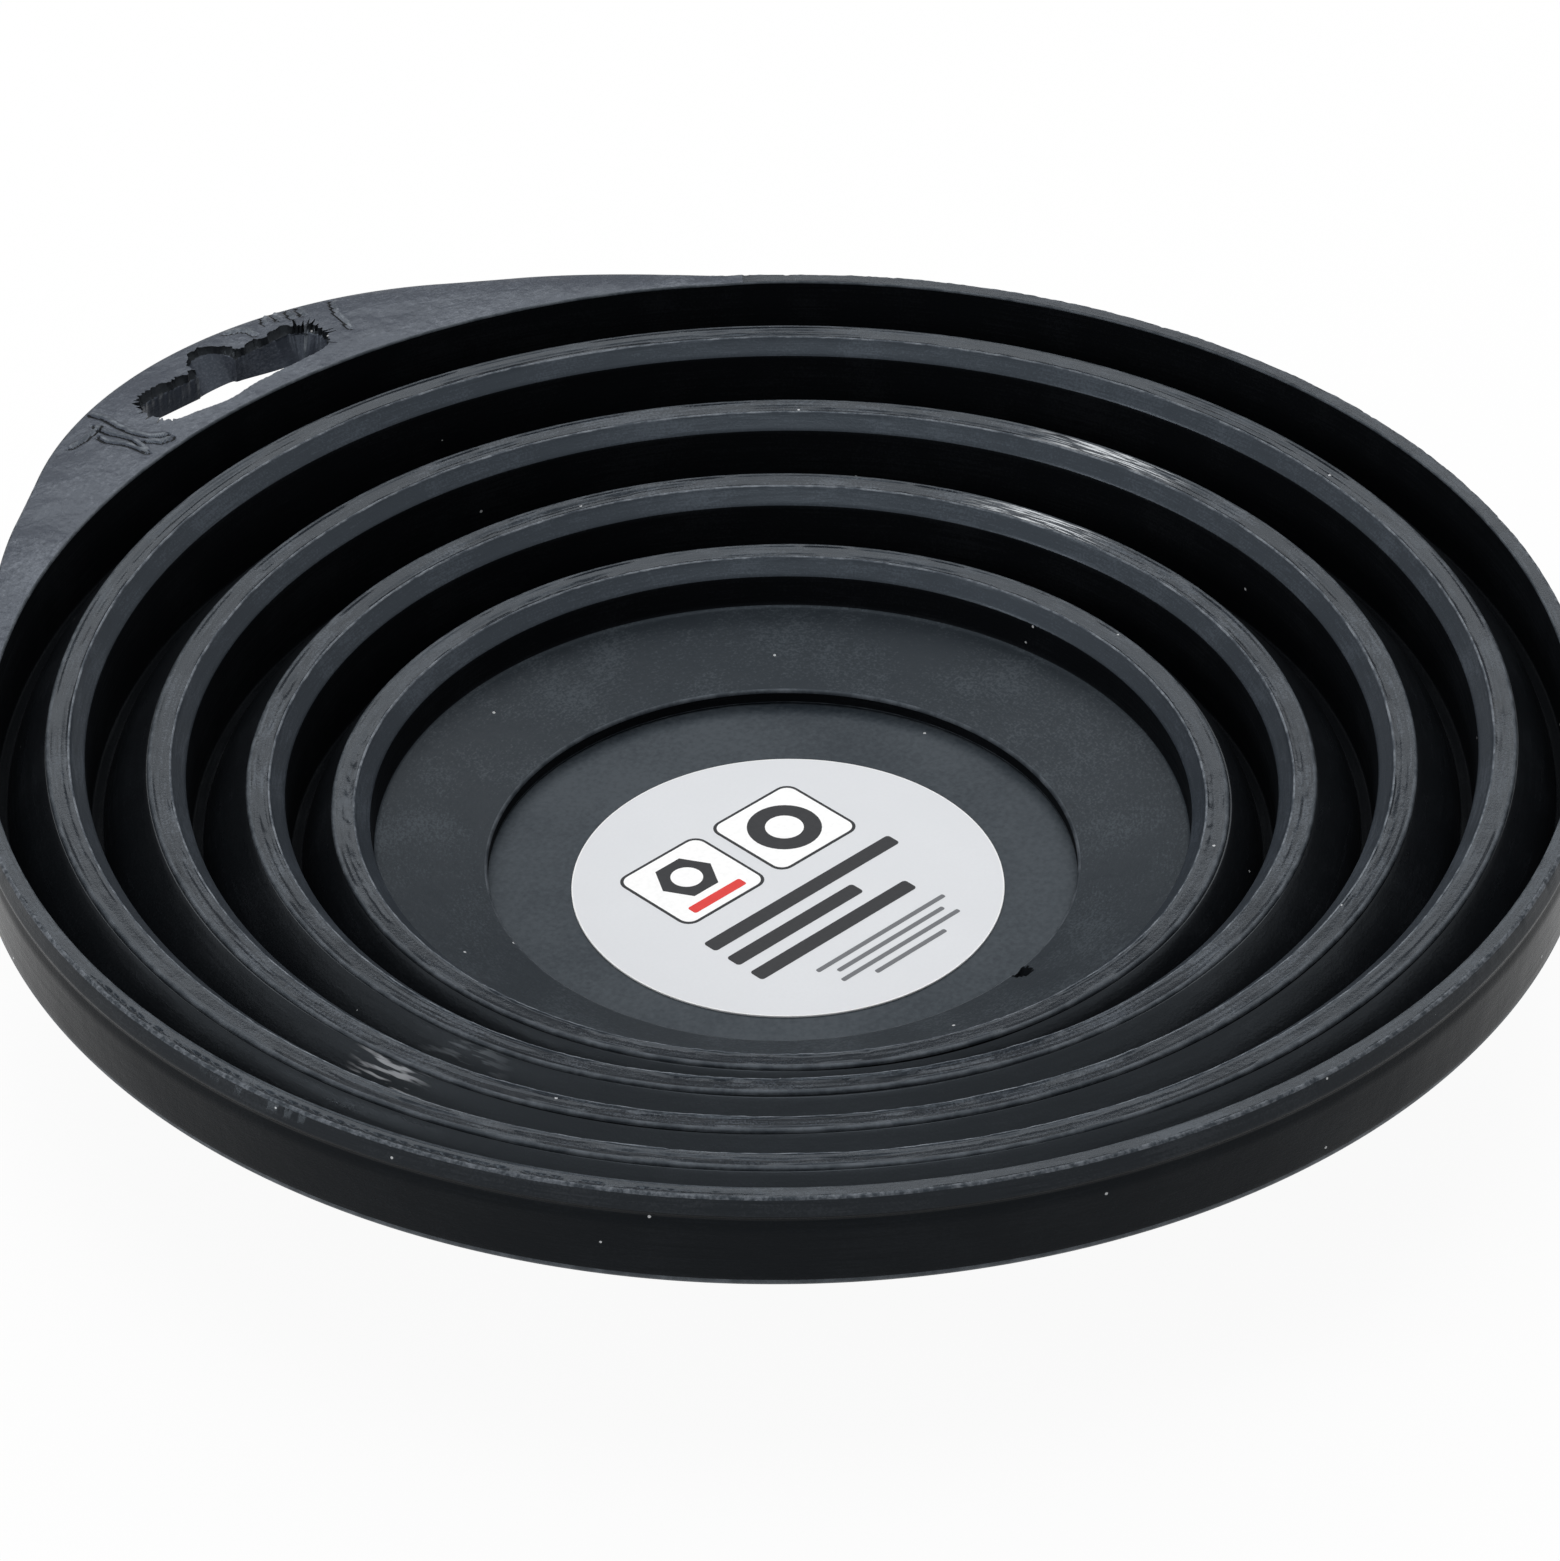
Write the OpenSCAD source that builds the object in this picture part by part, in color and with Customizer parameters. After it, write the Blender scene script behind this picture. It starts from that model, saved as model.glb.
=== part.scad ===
// Collapsible magnetic parts tray, folded flat.
// A round rubber bowl of nested bands joined by thin fold webs. The base cup
// holds a puck: a floor disc, a ring magnet, a cover, a screw and a foot pad.
// Millimetres. The origin is the centre of the resting face, +Z is up and the
// hang tab points along +Y.

/* [Rim] */
// Outside diameter of the rim at its top edge
rim_d = 120; // [110:1:160]
// Wall of the rim at its top edge
rim_top_t = 1.2; // [1:0.1:2]
// Height of the rim band
rim_h = 7.5; // [6:0.1:9]
// How far the rim wall stands out below the top edge
rim_flare = 0.45; // [0.3:0.05:0.8]
// Height of the raised band round the top of the rim
rim_lip_h = 1.6; // [1:0.1:2.5]
// Depth of the crease under the raised band
rim_crease = 0.15; // [0.05:0.05:0.25]
// Bevel that rounds off the lower edge of the rim
rim_bevel = 0.8; // [0.4:0.1:1]

/* [Hang tab] */
// Thickness of the hang tab
tab_t = 2.8; // [2.5:0.1:4.5]
// Radius of the tab's rounded end
tab_arc_r = 35; // [28:1:45]
// Rubber left outside the slot at the end of the tab
tab_edge = 1.4; // [1:0.1:3]
// Length of the hanging slot
slot_l = 18.4; // [14:0.2:22]
// Width of the slot's two arms
slot_w = 4.7; // [4.2:0.1:5.5]
// Width of the rounded notch in the middle of the slot
notch_d = 3.8; // [3:0.1:4.6]
// How far the notch reaches past the arms
notch_rise = 2.4; // [2:0.1:3.5]
// Rubber between the slot and the rim wall
slot_gap = 0.25; // [0.2:0.05:1]

/* [Rings] */
// Step in from the rim's top edge to the first ring
ring_inset = 5.2; // [4.6:0.1:6]
// Step in from one ring to the next
ring_pitch = 7.3; // [6.5:0.1:8]
// Step in from the last ring to the base cup
base_pitch = 6.3; // [5.6:0.1:7]
// Height of each ring
ring_h = 8.4; // [7.5:0.1:9.5]
// Drop from one crest to the next crest inwards
crest_step = 2.62; // [2:0.02:3]
// Height of the rim's edge above the first crest
rim_rise = 1.75; // [1:0.05:2.5]
// Width of a crest, flat and bevel together
crest_w = 2.9; // [2.6:0.1:3.4]
// Width of the flat on top of a crest
crest_flat = 2; // [1.6:0.1:2.3]
// How far that flat dips towards the inside
crest_dip = 0.15; // [0.05:0.05:0.3]
// Depth of the bevel on the inside of a crest
crest_drop = 1.5; // [1.2:0.1:1.8]
// Height of a crest's outer face
crest_t = 1.2; // [1:0.1:1.5]
// Small bevel on a crest's outer edge
crest_edge = 0.35; // [0.2:0.05:0.5]
// Wall of a band under its crest
band_t = 1.6; // [1.3:0.1:2]

/* [Fold webs] */
// How far the hinge bead at a band's foot reaches inwards
bead_w = 1; // [0.7:0.1:1.3]
// Height of the hinge bead, which is also the web's end
bead_t = 1; // [0.7:0.1:1.3]
// Room between a web and the bead it folds at
hinge_gap = 0.1; // [0.05:0.05:0.2]

/* [Base cup] */
// Wall round the puck
skirt_t = 1.8; // [1.4:0.1:2.2]
// Plain wall between the floor and the bevel
wall_h = 2.5; // [1.5:0.1:4]
// Width of the sloping floor round the disc
floor_w = 8.55; // [7:0.05:10]
// Rise of the floor from its inner edge to the wall
floor_rise = 2.45; // [1:0.05:3.5]
// Thickness of the floor's inner edge, over the disc
lip_t = 1.3; // [0.8:0.1:2]
// Height of the cup's lower edge above the resting face
skirt_lift = 0.4; // [0.2:0.1:0.7]
// How far the cup grips in under the cover
grip_w = 1.2; // [0.8:0.1:1.6]

/* [Puck] */
// Thickness of the floor disc
disc_t = 1.1; // [0.8:0.1:2]
// Thickness of the ring magnet
magnet_t = 5; // [4:0.1:7]
// Width of the ring magnet from its bore to its edge
magnet_w = 14.6; // [12:0.1:18]
// Bevel on the magnet's edges
magnet_bevel = 0.4; // [0.2:0.1:0.6]
// Thickness of the cover
cover_t = 1.5; // [1.3:0.1:2.5]
// Thickness of the cover's outer flange
flange_t = 0.7; // [0.5:0.1:0.9]
// Wall of the hub that centres the magnet
hub_t = 1.2; // [0.8:0.1:2]
// Diameter of the screw boss under the disc
boss_d = 8; // [7:0.5:10]
// Extra thickness of the cover under the screw boss
boss_seat_t = 1.2; // [0.8:0.1:1.8]
// Diameter of the screw's thread
screw_d = 3; // [2.5:0.1:3.5]
// Length of the screw
screw_l = 6; // [5:0.1:6.4]
// Diameter of the screw's head
screw_head_d = 5.6; // [5:0.1:6.2]
// Height of the screw's conical head
screw_head_h = 1.6; // [1.3:0.1:1.9]
// Width of the cross in the screw's head
cross_w = 0.8; // [0.5:0.1:1]
// Span of the cross in the screw's head
cross_l = 3; // [2.4:0.1:3.4]
// Depth of the cross in the screw's head
cross_h = 0.9; // [0.5:0.1:1.1]
// Thickness of the foot pad
pad_t = 1; // [0.8:0.1:2]
// Step in from the cover's edge to the pad's edge
pad_margin = 0.5; // [0.3:0.1:1.5]
// Room round pieces that drop into one another
fit_gap = 0.2; // [0.1:0.05:0.3]
// Room round the screw's thread
thread_gap = 0.05; // [0.02:0.01:0.1]

/* [Label] */
// Thickness of the label
label_t = 0.15; // [0.1:0.05:0.3]
// Step in from the floor's opening to the label's edge
label_margin = 6; // [3:0.05:9]
// How far the label sits off the axis to the left
label_off_x = 0.9; // [0.5:0.1:1.5]
// How far the label sits off the axis to the front
label_off_y = 1.5; // [0.5:0.1:2]

/* [Hidden] */
$fn = 128;

rubber = [0.13, 0.13, 0.14];
web_rubber = [0.10, 0.10, 0.11];
plastic = [0.17, 0.17, 0.18];
ferrite = [0.25, 0.24, 0.24];
steel = [0.72, 0.73, 0.75];
silver_grey = [0.85, 0.85, 0.86];

// Heights of the puck's faces, from the resting face up
cover_z = pad_t;
magnet_z = cover_z + cover_t;
disc_z = magnet_z + magnet_t;
disc_top = disc_z + disc_t;
lip_top = disc_top + lip_t;
floor_top = lip_top + floor_rise;

// Crest heights from the base cup out to the rim's top edge
base_crest = floor_top + wall_h + crest_drop;
ring_3_crest = base_crest + crest_step;
ring_2_crest = ring_3_crest + crest_step;
ring_1_crest = ring_2_crest + crest_step;
rim_top = ring_1_crest + rim_rise;
rim_foot = rim_top - rim_h;

// Radii from the rim in to the base cup
rim_r = rim_d / 2;
rim_in = rim_r - rim_top_t;
rim_out = rim_r + rim_flare;
ring_1_r = rim_r - ring_inset;
ring_2_r = ring_1_r - ring_pitch;
ring_3_r = ring_2_r - ring_pitch;
base_r = ring_3_r - base_pitch;

// Base cup and puck radii
skirt_r = base_r - crest_w + band_t;
cavity_r = skirt_r - skirt_t;
opening_r = base_r - crest_w - floor_w;
grip_r = cavity_r - grip_w;
puck_r = cavity_r - fit_gap;
cover_r = grip_r - fit_gap;
magnet_bore_r = puck_r - magnet_w;
hub_r = magnet_bore_r - fit_gap;
label_r = opening_r - label_margin;

// Screw and boss
thread_r = screw_d / 2;
thread_hole_r = thread_r + thread_gap;
head_r = screw_head_d / 2;
boss_z = magnet_z + boss_seat_t;

// Hanging slot and tab
slot_near = rim_out + slot_gap;
slot_mid = slot_near + slot_w / 2;
tab_end = slot_near + slot_w + notch_rise + tab_edge;
tab_c = tab_end - tab_arc_r;

// Profile of a band with its crest; foot is the points that close it below
module band(r, crest, foot) {
    wall_out = r - crest_w + band_t;
    rotate_extrude()
        polygon(concat(
            [[r - crest_w, crest - crest_drop],
             [r - crest_flat, crest - crest_dip],
             [r - crest_edge, crest],
             [r, crest - crest_edge],
             [r, crest - crest_t],
             [wall_out, crest - crest_t]],
            foot));
}

// A ring: a band with a hinge bead along the inside of its foot
module ring(r, crest) {
    foot = crest - ring_h;
    wall_out = r - crest_w + band_t;
    wall_in = r - crest_w;
    band(r, crest,
         [[wall_out, foot],
          [wall_in - bead_w, foot],
          [wall_in - bead_w, foot + bead_t],
          [wall_in, foot + bead_t]]);
}

// A thin conical web from an outer band's bead up to an inner band's crest
module fold_web(bead_r, bead_foot, crest_r, crest) {
    rotate_extrude()
        polygon([[bead_r - hinge_gap, bead_foot],
                 [bead_r - hinge_gap, bead_foot + bead_t],
                 [crest_r, crest - crest_edge],
                 [crest_r, crest - crest_t]]);
}

module ring_web(outer_r, outer_crest, inner_r, inner_crest) {
    fold_web(outer_r - crest_w - bead_w, outer_crest - ring_h, inner_r, inner_crest);
}

// Plan of the tab: a round end with straight flanks that run on to the rim
module tab_plan() {
    flank = acos((rim_r - tab_arc_r) / tab_c);
    reach = [sin(flank), cos(flank)];
    mirrored = [-sin(flank), cos(flank)];
    circle(rim_r);
    translate([0, tab_c]) circle(tab_arc_r);
    polygon([rim_r * reach, [0, tab_c] + tab_arc_r * reach,
             [0, tab_c] + tab_arc_r * mirrored, rim_r * mirrored]);
}

// Long slot with round ends and a round-topped notch in its outer side
module slot_plan() {
    arm = slot_l / 2 - slot_w / 2;
    notch_y = slot_near + slot_w + notch_rise - notch_d / 2;
    for (side = [-1, 1])
        translate([side * arm, slot_mid]) circle(d = slot_w);
    translate([-arm, slot_near]) square([2 * arm, slot_w]);
    translate([0, notch_y]) circle(d = notch_d);
    translate([-notch_d / 2, slot_mid]) square([notch_d, notch_y - slot_mid]);
}

module rim_band() {
    color(rubber) {
        rotate_extrude()
            polygon([[rim_in, rim_top],
                     [rim_r, rim_top],
                     [rim_out, rim_top - rim_lip_h],
                     [rim_out - rim_crease, rim_top - rim_lip_h - rim_crease],
                     [rim_out, rim_foot + rim_bevel],
                     [rim_out - rim_bevel, rim_foot],
                     [rim_in - bead_w, rim_foot],
                     [rim_in - bead_w, rim_foot + bead_t],
                     [rim_in, rim_foot + bead_t]]);
        translate([0, 0, rim_top - tab_t])
            linear_extrude(tab_t)
                difference() {
                    tab_plan();
                    circle(rim_r - rim_top_t / 2);
                    slot_plan();
                }
    }
}

module ring_1() {
    color(rubber) ring(ring_1_r, ring_1_crest);
}

module ring_2() {
    color(rubber) ring(ring_2_r, ring_2_crest);
}

module ring_3() {
    color(rubber) ring(ring_3_r, ring_3_crest);
}

module fold_web_1() {
    color(web_rubber) fold_web(rim_in - bead_w, rim_foot, ring_1_r, ring_1_crest);
}

module fold_web_2() {
    color(web_rubber) ring_web(ring_1_r, ring_1_crest, ring_2_r, ring_2_crest);
}

module fold_web_3() {
    color(web_rubber) ring_web(ring_2_r, ring_2_crest, ring_3_r, ring_3_crest);
}

module fold_web_4() {
    color(web_rubber) ring_web(ring_3_r, ring_3_crest, base_r, base_crest);
}

// The innermost band, the sloping floor and the skirt that grips the puck
module base_cup() {
    flange_z = magnet_z - flange_t;
    color(rubber)
        band(base_r, base_crest,
             [[skirt_r, skirt_lift],
              [grip_r, skirt_lift],
              [grip_r, flange_z],
              [cavity_r, flange_z],
              [cavity_r, disc_top],
              [opening_r, disc_top],
              [opening_r, lip_top],
              [base_r - crest_w, floor_top]]);
}

// Black disc under the floor's opening, with a boss for the screw
module floor_disc() {
    color(plastic)
        difference() {
            union() {
                translate([0, 0, disc_z]) cylinder(r = puck_r, h = disc_t);
                translate([0, 0, boss_z]) cylinder(d = boss_d, h = disc_z - boss_z + disc_t / 2);
            }
            translate([0, 0, cover_z])
                cylinder(r = thread_hole_r, h = screw_l + fit_gap);
        }
}

module label() {
    color(silver_grey)
        translate([-label_off_x, -label_off_y, disc_top])
            cylinder(r = label_r, h = label_t);
}

module ring_magnet() {
    color(ferrite)
        rotate_extrude()
            polygon([[magnet_bore_r + magnet_bevel, magnet_z],
                     [puck_r - magnet_bevel, magnet_z],
                     [puck_r, magnet_z + magnet_bevel],
                     [puck_r, disc_z - magnet_bevel],
                     [puck_r - magnet_bevel, disc_z],
                     [magnet_bore_r + magnet_bevel, disc_z],
                     [magnet_bore_r, disc_z - magnet_bevel],
                     [magnet_bore_r, magnet_z + magnet_bevel]]);
}

// Cover with an outer flange, a hub inside the magnet and a seat for the boss
module base_cover() {
    color(plastic)
        difference() {
            union() {
                translate([0, 0, cover_z]) cylinder(r = cover_r, h = cover_t);
                translate([0, 0, magnet_z - flange_t]) cylinder(r = puck_r, h = flange_t);
                translate([0, 0, cover_z]) cylinder(d = boss_d, h = boss_z - cover_z);
                rotate_extrude()
                    translate([hub_r - hub_t, cover_z])
                        square([hub_t, disc_z - fit_gap - cover_z]);
            }
            translate([0, 0, cover_z - fit_gap])
                cylinder(r = thread_hole_r, h = boss_z - cover_z + 2 * fit_gap);
            translate([0, 0, cover_z])
                cylinder(r1 = head_r + fit_gap, r2 = thread_hole_r, h = screw_head_h + fit_gap);
        }
}

// Cross-head self-tapping screw, driven from below
module cover_screw() {
    color(steel)
        translate([0, 0, cover_z])
            difference() {
                union() {
                    cylinder(r1 = head_r, r2 = thread_r, h = screw_head_h);
                    cylinder(r = thread_r, h = screw_l);
                }
                for (turn = [0, 90])
                    rotate([0, 0, turn])
                        translate([-cross_l / 2, -cross_w / 2, -cross_h])
                            cube([cross_l, cross_w, 2 * cross_h]);
            }
}

module foot_pad() {
    color(rubber) cylinder(r = cover_r - pad_margin, h = pad_t);
}

rim_band();
ring_1();
ring_2();
ring_3();
fold_web_1();
fold_web_2();
fold_web_3();
fold_web_4();
base_cup();
floor_disc();
label();
ring_magnet();
base_cover();
cover_screw();
foot_pad();
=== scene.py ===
import math

import bmesh
import bpy
import numpy as np
from mathutils import Matrix, Vector


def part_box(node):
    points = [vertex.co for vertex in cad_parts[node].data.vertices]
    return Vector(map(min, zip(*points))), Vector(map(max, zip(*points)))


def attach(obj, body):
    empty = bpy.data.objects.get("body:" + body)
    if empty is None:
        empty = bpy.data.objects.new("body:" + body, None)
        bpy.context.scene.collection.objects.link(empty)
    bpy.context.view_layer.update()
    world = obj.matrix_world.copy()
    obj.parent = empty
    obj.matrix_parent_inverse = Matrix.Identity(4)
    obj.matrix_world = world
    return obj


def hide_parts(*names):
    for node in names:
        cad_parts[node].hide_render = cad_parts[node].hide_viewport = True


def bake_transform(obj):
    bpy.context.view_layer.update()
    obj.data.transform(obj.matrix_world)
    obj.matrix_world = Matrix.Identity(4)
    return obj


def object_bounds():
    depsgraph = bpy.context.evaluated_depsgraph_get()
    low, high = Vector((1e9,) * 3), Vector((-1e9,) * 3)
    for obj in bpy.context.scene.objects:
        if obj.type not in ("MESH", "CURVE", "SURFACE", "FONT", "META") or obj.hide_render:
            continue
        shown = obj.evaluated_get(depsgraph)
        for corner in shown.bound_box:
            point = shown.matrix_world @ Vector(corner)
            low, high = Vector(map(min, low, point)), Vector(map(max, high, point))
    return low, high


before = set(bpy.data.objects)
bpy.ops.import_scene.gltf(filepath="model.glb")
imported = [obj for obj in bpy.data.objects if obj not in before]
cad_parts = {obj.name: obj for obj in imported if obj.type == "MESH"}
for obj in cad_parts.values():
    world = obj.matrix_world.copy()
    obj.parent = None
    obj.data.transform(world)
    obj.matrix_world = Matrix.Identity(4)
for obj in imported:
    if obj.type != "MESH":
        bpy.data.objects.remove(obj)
cad_low, cad_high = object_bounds()
mm = 0.001

# Foot pad
# A disc of black foam rubber that the tray stands on. It is die cut from sheet, so its edge is
# a little rounded, and it is stuck to the underside of the cover.


def rounded(corners, roundings, closed=True):
    """Points of an outline through corners (..., corner, 2), with a short curve at each corner."""
    curve = np.linspace(0, 1, 5)
    support = 1.5
    points = []
    count = corners.shape[-2]
    for place in range(count):
        corner = corners[..., place, :]
        rounding = roundings[place]
        if rounding == 0 or (not closed and place in (0, count - 1)):
            points.append(corner)
            continue
        back = corners[..., place - 1, :] - corner
        on = corners[..., (place + 1) % count, :] - corner
        back = back / np.linalg.norm(back, axis=-1, keepdims=True) * rounding
        on = on / np.linalg.norm(on, axis=-1, keepdims=True) * rounding
        points.append(corner + back * support)
        for share in curve:
            points.append(corner + back * (1 - share) ** 2 + on * share ** 2)
        points.append(corner + on * support)
    return np.stack(points, axis=-2)


def strip_finishes(finishes, roundings, edges=()):
    """The finish of each strip of faces along an outline, from the finish after each corner.

    edges pairs a corner with a finish, where the corner's curve has one of its own.
    """
    edges = dict(edges)
    strips = []
    for place, finish in enumerate(finishes):
        before = finishes[place - 1]
        if roundings[place] == 0:
            strips.append(finish)
        elif place in edges:
            strips += [before] + [edges[place]] * 4 + [finish] * 2
        else:
            strips += [before] * 3 + [finish] * 4
    return strips


def placed(name, data):
    """A new object in the scene that holds a mesh, a lamp or a lens."""
    holder = bpy.data.objects.new(name, data)
    bpy.context.scene.collection.objects.link(holder)
    return holder


def turned(name, outline, strips, materials, angles, closed=True):
    """A mesh turned about the tray's axis from outlines (angle, point, 2) of radius and height."""
    steps, count = outline.shape[:2]
    across = outline[..., 0]
    x = across * np.cos(angles)[:, None]
    y = across * np.sin(angles)[:, None]
    places = np.stack((x, y, outline[..., 1]), axis=-1).reshape(-1, 3)
    spans = count if closed else count - 1
    turn, along = np.meshgrid(np.arange(steps), np.arange(spans), indexing="ij")
    next_turn = (turn + 1) % steps
    next_along = (along + 1) % count
    corners = (turn * count + along, next_turn * count + along,
               next_turn * count + next_along, turn * count + next_along)
    faces = np.stack(corners, axis=-1).reshape(-1, 4)
    mesh = bpy.data.meshes.new(name)
    mesh.from_pydata(places.tolist(), [], faces.tolist())
    for material in materials:
        mesh.materials.append(material)
    finishes = np.broadcast_to(np.asarray(strips, np.int32), (steps, count))[:, :spans]
    mesh.polygons.foreach_set("material_index", finishes.ravel())
    mesh.polygons.foreach_set("use_smooth", np.ones(len(faces), bool))
    if not closed:
        work = bmesh.new()
        work.from_mesh(mesh)
        bmesh.ops.remove_doubles(work, verts=work.verts, dist=0.001 * mm)
        work.to_mesh(mesh)
        work.free()
    mesh.update()
    return placed(name, mesh)


def fill_in(node, values):
    """Sets a shader node's inputs to values, or links them where a value is another node's output."""
    for key, value in values.items():
        if isinstance(value, bpy.types.NodeSocket):
            node.id_data.links.new(value, node.inputs[key])
        else:
            node.inputs[key].default_value = value


def put(tree, kind, values, **settings):
    """A new shader node with its settings, and with its inputs filled in from values."""
    made = tree.nodes.new(kind)
    for key, value in settings.items():
        setattr(made, key, value)
    fill_in(made, values)
    return made


def new_finish(name):
    """A new material with its node tree and its Principled shader."""
    material = bpy.data.materials.new(name)
    material.use_nodes = True
    return material, material.node_tree, material.node_tree.nodes["Principled BSDF"]


def object_place(tree):
    """The place on the piece, in metres, for textures that stay with it as it moves."""
    return put(tree, "ShaderNodeTexCoord", {}).outputs["Object"]


def noise(tree, scale, detail=2, roughness=0.5, place=None):
    """A cloudy texture value, with about scale clouds to a metre, or to a unit of place."""
    if place is None:
        place = object_place(tree)
    values = {"Vector": place, "Scale": scale, "Detail": detail, "Roughness": roughness}
    return put(tree, "ShaderNodeTexNoise", values).outputs["Fac"]


def ramp(tree, value, start, end, low=0, high=1):
    """A value that runs from low to high while another runs from start to end."""
    ends = {"Value": value, "From Min": start, "From Max": end, "To Min": low, "To Max": high}
    return put(tree, "ShaderNodeMapRange", ends).outputs["Result"]


def spread_to(tree, value, low, high):
    """A grey texture value of 0.3 to 0.7 stretched to run from low to high."""
    return ramp(tree, value, 0.3, 0.7, low, high)


def blended(tree, share, first, second):
    """A colour between a colour, plain or another node's, and a plain one, by a share from 0 to 1."""
    if not isinstance(first, bpy.types.NodeSocket):
        first = (*first, 1)
    ends = {"Factor": share, 6: first, 7: (*second, 1)}
    return put(tree, "ShaderNodeMix", ends, data_type="RGBA").outputs[2]


def bumped(tree, height, strength, depth, under=None):
    """Normals raised by a texture value, on top of other bumped normals where these are given."""
    values = {"Height": height, "Strength": strength, "Distance": depth}
    if under is not None:
        values["Normal"] = under
    return put(tree, "ShaderNodeBump", values).outputs["Normal"]


def even_turn(steps):
    """Angles spaced evenly round the axis."""
    return np.linspace(0, 2 * math.pi, steps, endpoint=False)


foam, tree, shader = new_finish("foam_rubber")
foam_cells = put(tree, "ShaderNodeTexVoronoi", {"Vector": object_place(tree), "Scale": 2600})
foam_share = spread_to(tree, noise(tree, 300), 0, 1)
fill_in(shader, {"Base Color": blended(tree, foam_share, (0.012, 0.012, 0.013), (0.026, 0.026, 0.028)),
                 "Normal": bumped(tree, foam_cells.outputs["Distance"], 0.6, 0.08 * mm),
                 "Roughness": 0.85, "Specular IOR Level": 0.25})

pad_low, pad_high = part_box("foot_pad")
pad_corners = np.array([(0, pad_low.z), (pad_high.x, pad_low.z),
                        (pad_high.x, pad_high.z), (0, pad_high.z)])
pad_roundings = [0, 0.2 * mm, 0.3 * mm, 0]
pad_steps = 240
pad_outline = np.repeat(rounded(pad_corners, pad_roundings, closed=False)[None], pad_steps, axis=0)
pad_strips = [0] * pad_outline.shape[1]
pad = turned("pad", pad_outline, pad_strips, [foam], even_turn(pad_steps), closed=False)
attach(pad, "base")
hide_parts("foot_pad")

# Base cover
# The moulded plastic plate that closes the puck from below, with a hub inside the magnet. The
# cup's lower edge grips its flange, and the screw holds it to the disc.
cover_plastic, tree, shader = new_finish("cover_plastic")
cover_grain = noise(tree, 1800, detail=6)
cover_share = spread_to(tree, cover_grain, 0, 1)
fill_in(shader, {"Base Color": blended(tree, cover_share, (0.016, 0.016, 0.017), (0.028, 0.028, 0.03)),
                 "Normal": bumped(tree, cover_grain, 0.35, 0.05 * mm), "Roughness": 0.6})


def dress(node, material):
    """Puts one finish on a CAD piece whose shape is kept."""
    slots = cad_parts[node].data.materials
    slots.clear()
    slots.append(material)


dress("base_cover", cover_plastic)

# Cover screw
# A small zinc-plated cross-head screw, driven from below through the cover into the disc's boss.
# The foot pad hides its head.
zinc, tree, shader = new_finish("zinc_plate")
zinc_cloud = noise(tree, 900, detail=4)
zinc_share = spread_to(tree, zinc_cloud, 0, 1)
fill_in(shader, {"Base Color": blended(tree, zinc_share, (0.6, 0.61, 0.64), (0.74, 0.74, 0.75)),
                 "Roughness": spread_to(tree, zinc_cloud, 0.22, 0.42), "Metallic": 1})
dress("cover_screw", zinc)

# Ring magnet
# A ring of sintered ferrite, ground flat on its faces. It lies between the cover and the disc,
# centred by the cover's hub.
ferrite, tree, shader = new_finish("ferrite")
ferrite_grit = noise(tree, 1500, detail=8)
ferrite_share = spread_to(tree, ferrite_grit, 0, 1)
fill_in(shader, {"Base Color": blended(tree, ferrite_share, (0.035, 0.034, 0.034), (0.08, 0.077, 0.076)),
                 "Normal": bumped(tree, ferrite_grit, 0.3, 0.05 * mm), "Roughness": 0.55,
                 "Metallic": 0.35})
dress("ring_magnet", ferrite)

# Floor disc
# The matte black disc over the magnet, which small steel parts lie on. It is moulded plastic
# with a fine spark-eroded grain, and it drops into the cup from below.


def worked(tree, operation, *values):
    """The result of one step of arithmetic on numbers and other nodes' outputs."""
    return put(tree, "ShaderNodeMath", dict(enumerate(values)), operation=operation).outputs[0]


def dusted(tree, plain, size, amount):
    """A colour output with specks of pale dust about size apart; amount is the share of places filled."""
    dust = (0.42, 0.43, 0.44)
    speck_share = 0.055
    cells = put(tree, "ShaderNodeTexVoronoi", {"Vector": object_place(tree), "Scale": 1 / size})
    near = worked(tree, "LESS_THAN", cells.outputs["Distance"], speck_share)
    lot = put(tree, "ShaderNodeSeparateColor", {"Color": cells.outputs["Color"]}).outputs["Red"]
    picked = worked(tree, "LESS_THAN", lot, amount)
    return blended(tree, worked(tree, "MULTIPLY", near, picked), plain, dust)


cool_gloss = (0.76, 0.88, 1, 1)
disc_plastic, tree, shader = new_finish("disc_plastic")
disc_cloud = noise(tree, 90, detail=3)
disc_grain = noise(tree, 2600, detail=4)
disc_share = ramp(tree, worked(tree, "ADD", disc_cloud, disc_grain), 0.75, 1.25)
disc_shade = blended(tree, disc_share, (0.012, 0.0165, 0.0215), (0.033, 0.040, 0.047))
fill_in(shader, {"Base Color": dusted(tree, disc_shade, 2.6 * mm, 0.12),
                 "Normal": bumped(tree, disc_grain, 0.5, 0.04 * mm), "Roughness": 0.5,
                 "Specular IOR Level": 0.27, "Specular Tint": cool_gloss})
dress("floor_disc", disc_plastic)
disc_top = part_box("floor_disc")[1].z

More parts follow.
